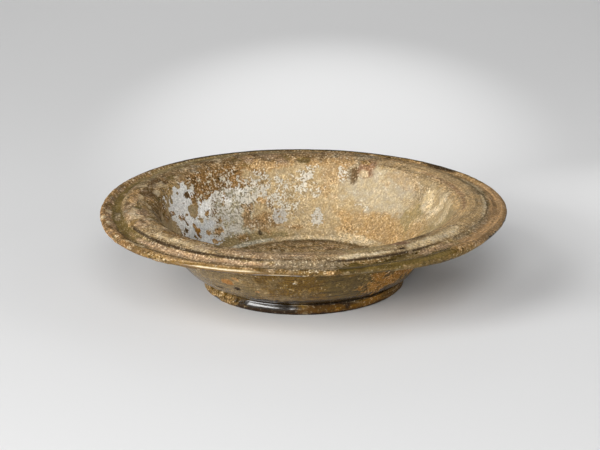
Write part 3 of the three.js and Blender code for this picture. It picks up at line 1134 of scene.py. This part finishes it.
@dataclass
class FootRing(TurnedGlass):
    """The coil under the bowl. Sizes are in millimetres."""

    name: str = "foot_ring_glass"
    node: str = "foot_ring"
    slot: str = "weathered_foot_glass"
    closed: bool = True
    inner_radius: float = 55
    outer_radius: float = 61.8
    widest_height: float = 3.4
    band_radius: float = 58.5
    band_width: float = 1.6
    shoulder_inset: float = 1.8
    thicker_right: Dent = Dent(2.6, 345, 70)
    thinner_left: Dent = Dent(1.2, 190, 80)
    worn_right: Dent = Dent(1.2, 325, 50)

    def outline(self) -> list[Point]:
        """Works out the outline of the coil, closed on itself, with a slanting upper side.

        Returns:
            Radius and height of each point, in millimetres.
        """
        low, high = self.band_radius - self.band_width / 2, self.band_radius + self.band_width / 2
        inner = bezier([(self.inner_radius, self.widest_height), (self.inner_radius, 0), (low, 0)], 0.6)
        outer = bezier([(high, 0), (self.outer_radius, 0), (self.outer_radius, self.widest_height)], 0.6)
        (near, low_seat), (far, high_seat) = self.seat_inner, self.seat_outer
        edge = self.outer_radius - self.shoulder_inset
        seat = (edge, low_seat + (high_seat - low_seat) * (edge - near) / (far - near))
        rise = (seat[1] - self.widest_height) / 3
        top = bezier([outer[-1], (self.outer_radius, self.widest_height + rise),
                      (edge + self.shoulder_inset / 2, self.widest_height + 2 * rise), seat], 0.6)
        return [self.seat_inner, *inner, *outer, *top[1:-1], *bezier([seat, self.seat_inner], 2)]

    def bend(self, places: np.ndarray, turn: np.ndarray, reach: np.ndarray) -> None:
        """Thickens the coil to the right, where its lower edge is worn round, and thins it to the left.

        Args:
            places: the points in metres, moved in place.
            turn: each point's turn in degrees.
            reach: each point's reach in millimetres.
        """
        radius, height = np.hypot(*places[:, :2].T) / MM, places[:, 2] / MM
        side = smooth_step(60, self.outer_radius, radius) * band((0.5, 3), (7.2, 5), height)
        thicker = self.thicker_right.at(turn) - self.thinner_left.at(turn)
        worn = self.worn_right.at(turn) * smooth_step(59, 61, radius) * smooth_step(4, 1.5, height)
        places[:, 2] += (thicker * side + worn) * MM

    def patches(self) -> list[Row]:
        """Lists a row for each patch, in the order in which they are laid."""
        return [
            ("coil, dark glass", 0, 360, -20, 400, Skin.DARK_GLASS, 1, 0),
            ("upper side, brown", 0, 360, 55, 64, Skin.BROWN_GLASS, 0.8, 0.6),
            ("gold crust, left", 176, 236, 60, 71, Skin.GOLD_CRUST, 1, 1.2),
            ("glassy spot, left", 204, 212, 64, 69, Skin.DARK_GLASS, 1, 0.8),
            ("glassy spot, left", 226, 235, 64.5, 69, Skin.DARK_GLASS, 1, 0.8),
            ("dark dirt, near left", 228, 272, 62, 71, Skin.DARK_DIRT, 1, 0.8),
            ("bare glass, front", 229, 266, 59.6, 64.6, Skin.BLACK_GLASS, 1, 0.5),
            ("dark dirt, front", 268, 304, 60, 71, Skin.DARK_DIRT, 1, 0.4),
            ("brown crust, front", 266, 300, 61.5, 67, Skin.RED_BROWN, 0.42, 1.6),
            ("brown crust, right", 292, 358, 60, 71, Skin.RED_BROWN, 0.95, 0.9),
            ("olive glass, right end", 322, 350, 60, 72, Skin.LIP_BROWN, 0.7, 1.3),
            ("rust, right", 306, 322, 61, 67, Skin.RUST, 0.6, 1.4),
            # Painted shade: the coil's upper edge is darkened where it meets the wall on the right.
            ("painted shade at the seam, right", 262, 356, 57, 61.3, Skin.DARK_DIRT, 1, 0.4),
            ("dark dirt under the right", 280, 345, 66.5, 71, Skin.DARK_DIRT, 0.8, 1.2),
            *scattered(13, 16, (0, 176), (60, 76)),
        ]


def placed(name: str, data: bpy.types.ID, place: Place = (0.0, 0.0, 0.0)) -> bpy.types.Object:
    """Puts an object in the scene.

    Args:
        name: its name.
        data: the mesh, light or camera that it shows.
        place: where it stands.

    Returns:
        The new object.
    """
    made = bpy.data.objects.new(name, data)
    made.location = place
    bpy.context.scene.collection.objects.link(made)
    return made


@dataclass(frozen=True)
class Light:
    """One light of the studio, turned to its aim. Lengths are in metres and the power in watts."""

    KIND: ClassVar[str]

    name: str
    place: Place
    power: float
    aim: Place = (0.0, 0.0, 0.0)

    def shape(self, data: bpy.types.Light) -> None:
        """Gives the light its size."""
        raise NotImplementedError

    def hang(self) -> None:
        """Puts the light in the scene."""
        data = bpy.data.lights.new(self.name, self.KIND)
        data.energy = self.power
        self.shape(data)
        away = Vector(self.place) - Vector(self.aim)
        placed(self.name, data, self.place).rotation_euler = away.to_track_quat("Z", "Y").to_euler()


@dataclass(frozen=True)
class Lamp(Light):
    """A soft lamp, as wide and as high as its size says."""

    KIND: ClassVar[str] = "AREA"

    size: Point = (1.2, 1.2)

    def shape(self, data: bpy.types.Light) -> None:
        """Makes the lamp a lit rectangle."""
        data.shape = "RECTANGLE"
        data.size, data.size_y = self.size


@dataclass(frozen=True)
class Spot(Light):
    """A spotlight with a soft edge. Its cone is in degrees across."""

    KIND: ClassVar[str] = "SPOT"

    cone: float = 9.0

    def shape(self, data: bpy.types.Light) -> None:
        """Narrows the light to its cone."""
        data.spot_size = math.radians(self.cone)
        data.spot_blend = 1.0


@dataclass(frozen=True)
class Studio:
    """Pale floor, soft light and the photo's camera.

    Lengths are in metres and angles in degrees, and the lens is in millimetres.
    """

    elevation: float = 17.96
    roll: float = -0.85
    distance: float = 2.0
    lens: float = 195.0
    target: Place = (-0.0024, 0.0, 0.0375)
    lights: tuple[Light, ...] = (
        Lamp("key", (-1.6, -1.1, 1.45), 23),
        Lamp("low front", (-0.2, -2.6, 0.8), 38),
        Lamp("low left", (-1.58, -1.3, 0.8), 32, size=(1.5, 0.7)),
        Lamp("high front", (0.15, -2.4, 2.2), 30, size=(1.6, 1.6)),
        Lamp("right fill", (2.4, -0.9, 0.85), 9, size=(1.0, 1.0)),
        Lamp("backdrop", (0.0, 0.95, 0.55), 0.8, (0.0, 0.95, 0.0), (0.5, 0.5)),
        Lamp("backdrop, right", (0.52, 0.12, 0.5), 0.4, (0.52, 0.12, 0.0), (0.4, 0.4)),
        Spot("backdrop glow", (0.016, 2.15, 1.26), 90, (0.016, 0.335, 0.0), 9.6),
        Spot("backdrop glow, right", (0.7, 1.0, 1.5), 30, (0.21, 0.12, 0.0), 8.4),
    )
    sky: float = 0.06
    paper: str = "#e2e2e2"
    paper_roughness: float = 0.85
    floor_reach: float = 6.0

    def camera(self) -> None:
        """Puts the camera where the photo was taken from."""
        data = bpy.data.cameras.new("camera")
        data.lens = self.lens
        angle = math.radians(self.elevation)
        back = Vector((0, -math.cos(angle), math.sin(angle)))
        camera = placed("camera", data, Vector(self.target) + back * self.distance)
        turn = Quaternion(back, math.radians(self.roll)) @ back.to_track_quat("Z", "Y")
        camera.rotation_euler = turn.to_euler()
        bpy.context.scene.camera = camera

    def floor(self) -> None:
        """Lays the plain pale paper that the bowl stands on."""
        mesh = bpy.data.meshes.new("floor")
        mesh.from_pydata([(x * self.floor_reach, y * self.floor_reach, 0)
                          for x, y in ((-1, -1), (1, -1), (1, 1), (-1, 1))], [], [(0, 1, 2, 3)])
        material = bpy.data.materials.new("plain pale paper")
        material.use_nodes = True
        shader = material.node_tree.nodes["Principled BSDF"]
        shader.inputs["Base Color"].default_value = linear(self.paper)
        shader.inputs["Roughness"].default_value = self.paper_roughness
        mesh.materials.append(material)
        floor = placed("floor", mesh)

    def light(self) -> None:
        """Lights the bowl softly from the upper left in front, and from above."""
        for light in self.lights:
            light.hang()
        world = bpy.data.worlds.new("studio")
        world.use_nodes = True
        world.node_tree.nodes["Background"].inputs[0].default_value = linear("#ffffff")
        world.node_tree.nodes["Background"].inputs[1].default_value = self.sky
        bpy.context.scene.world = world
        bpy.context.scene.view_settings.view_transform = "Standard"


def main() -> None:
    """Builds the studio, then the bowl."""
    studio = Studio()
    studio.camera()
    studio.floor()
    studio.light()
    BowlBody().build(BODY_FINISH)
    FootRing().build(FOOT_FINISH)


if __name__ == "__main__":
    main()
